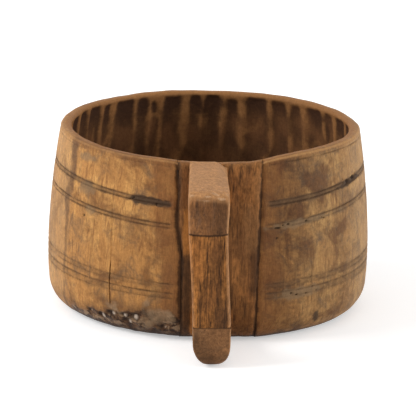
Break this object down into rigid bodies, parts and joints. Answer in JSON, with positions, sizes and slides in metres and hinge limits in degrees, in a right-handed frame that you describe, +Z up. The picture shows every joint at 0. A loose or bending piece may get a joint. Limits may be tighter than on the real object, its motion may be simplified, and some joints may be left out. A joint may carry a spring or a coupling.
{
  "type": "handled wooden bowl",
  "caption": "Round turned wooden bowl with incised lines, a let-in base and an upright side handle built on a flat stave, for scooping, serving and pouring.",
  "frame": {"origin": "on the bowl's axis, at the middle of the flat underside that rests on the table", "axes": "+Z up along the bowl's axis, -Y towards the handle, +X to the right of someone who faces the handle"},
  "size_m": [0.21, 0.262, 0.12],
  "materials": {
    "turned_wood": "hand-rubbed, worn, satin",
    "base_wood": "dark from use, matt",
    "stave_wood": "hand-rubbed, satin",
    "upper_arm_wood": "polished by hands, pale on top",
    "grip_wood": "polished by hands, satin",
    "lower_arm_wood": "polished by hands, satin",
    "peg_wood": "cut, unfinished",
    "pitch": "hard black pitch"
  },
  "bodies": {
    "root": {"bowl_wall": "turned_wood", "base_board": "base_wood", "handle_stave": "stave_wood", "handle_upper_arm": "upper_arm_wood", "handle_grip": "grip_wood", "handle_lower_arm": "lower_arm_wood", "seam_pitch_left": "pitch", "seam_pitch_right": "pitch", "upper_tenon_wedge": "peg_wood", "lower_tenon_wedge": "peg_wood", "grip_upper_dowel": "peg_wood", "grip_lower_dowel": "peg_wood", "stave_dowel_left_upper": "peg_wood", "stave_dowel_left_lower": "peg_wood", "stave_dowel_right_upper": "peg_wood", "stave_dowel_right_lower": "peg_wood"}
  },
  "joints": []
}
